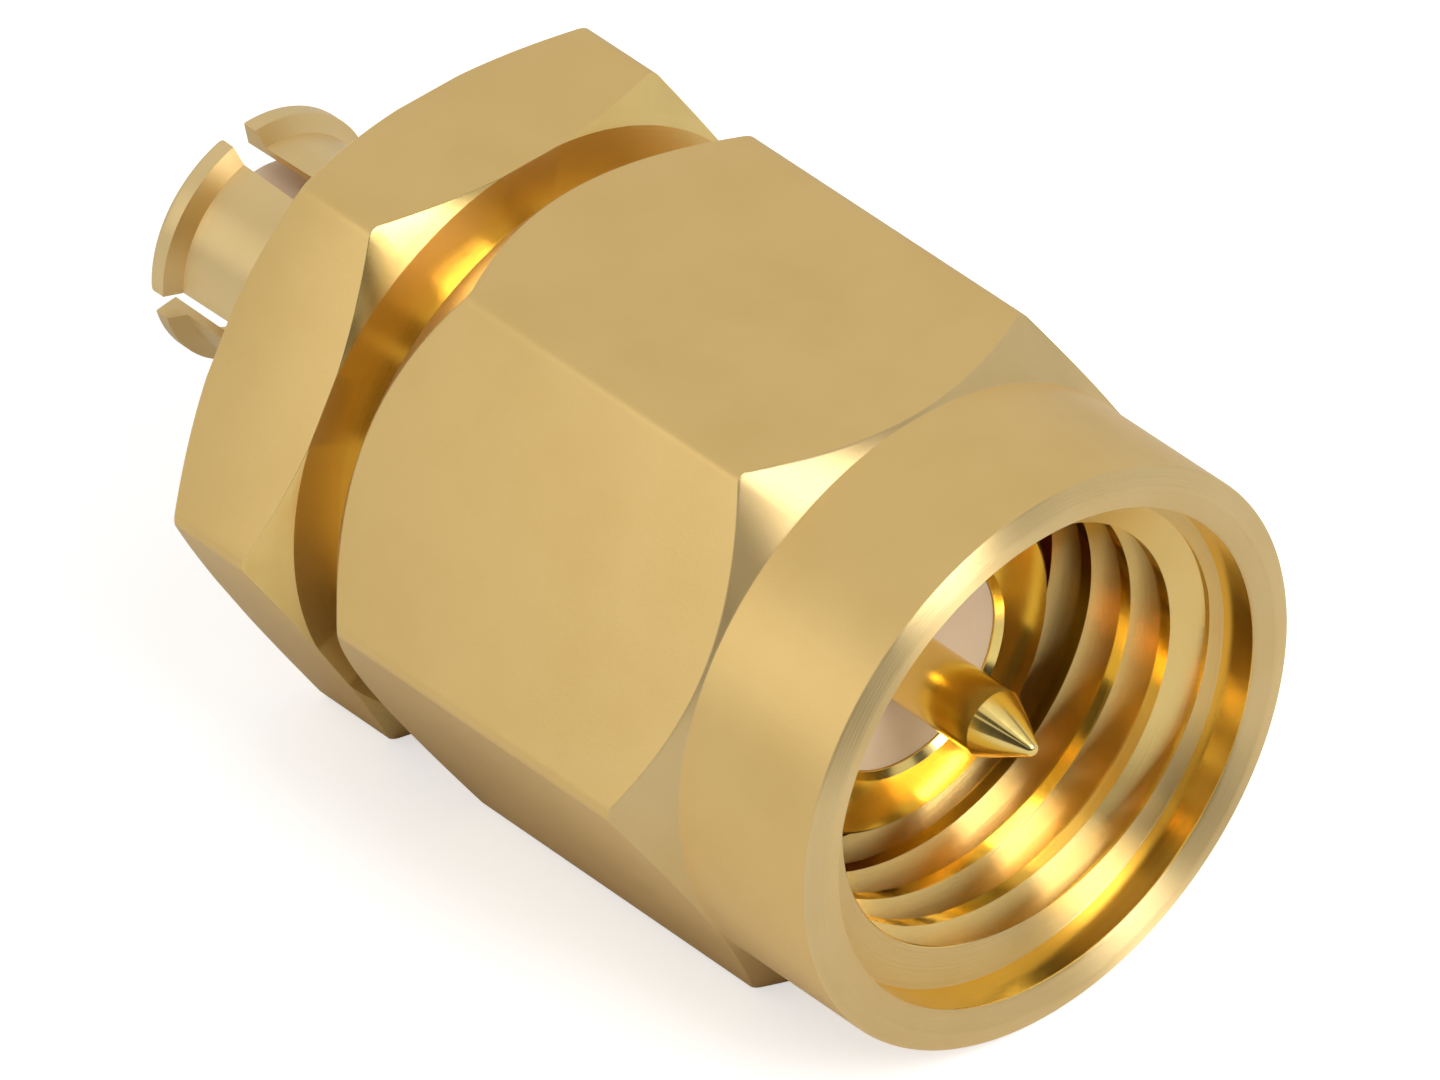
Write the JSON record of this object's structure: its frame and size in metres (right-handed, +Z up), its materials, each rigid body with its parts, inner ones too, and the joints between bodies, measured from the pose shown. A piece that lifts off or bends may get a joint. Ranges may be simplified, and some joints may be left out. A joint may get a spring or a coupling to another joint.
{
  "type": "coaxial connector adapter",
  "caption": "Gold-plated coaxial adapter: pin plug with a captive hexagon coupling nut at one end and a small slotted push-on jack at the other.",
  "frame": {"origin": "centre of the plug's reference plane, the front face of its sleeve, on the common axis", "axes": "+X along the axis out of the coupling nut's mouth, +Z up, square to the pair of hexagon flats that the part lies on"},
  "size_m": [0.0146, 0.0092, 0.008],
  "materials": {
    "nut_gold": "satin gold plate on brass",
    "ring_metal": "spring bronze",
    "body_gold": "satin gold plate on brass",
    "gasket_rubber": "matte silicone rubber",
    "dielectric": "turned white fluoropolymer",
    "contact_gold": "bright gold plate",
    "finger_gold": "gold plate on spring copper alloy"
  },
  "bodies": {
    "core": {"main_body": "body_gold", "gasket": "gasket_rubber", "front_insulator": "dielectric", "center_contact": "contact_gold", "rear_insulator": "dielectric", "smp_outer_contact": "finger_gold"},
    "snap_ring": {"retaining_ring": "ring_metal"},
    "nut": {"coupling_nut": "nut_gold"}
  },
  "joints": [
    {"name": "ring_float", "type": "slide", "parent": "core", "child": "snap_ring", "axis": [1, 0, 0], "range_m": [-0.00012, 0.00012]},
    {"name": "nut_spin", "type": "hinge", "parent": "snap_ring", "child": "nut", "pos_m": [-0.0045, 0, 0], "axis": [1, 0, 0], "continuous": true}
  ]
}
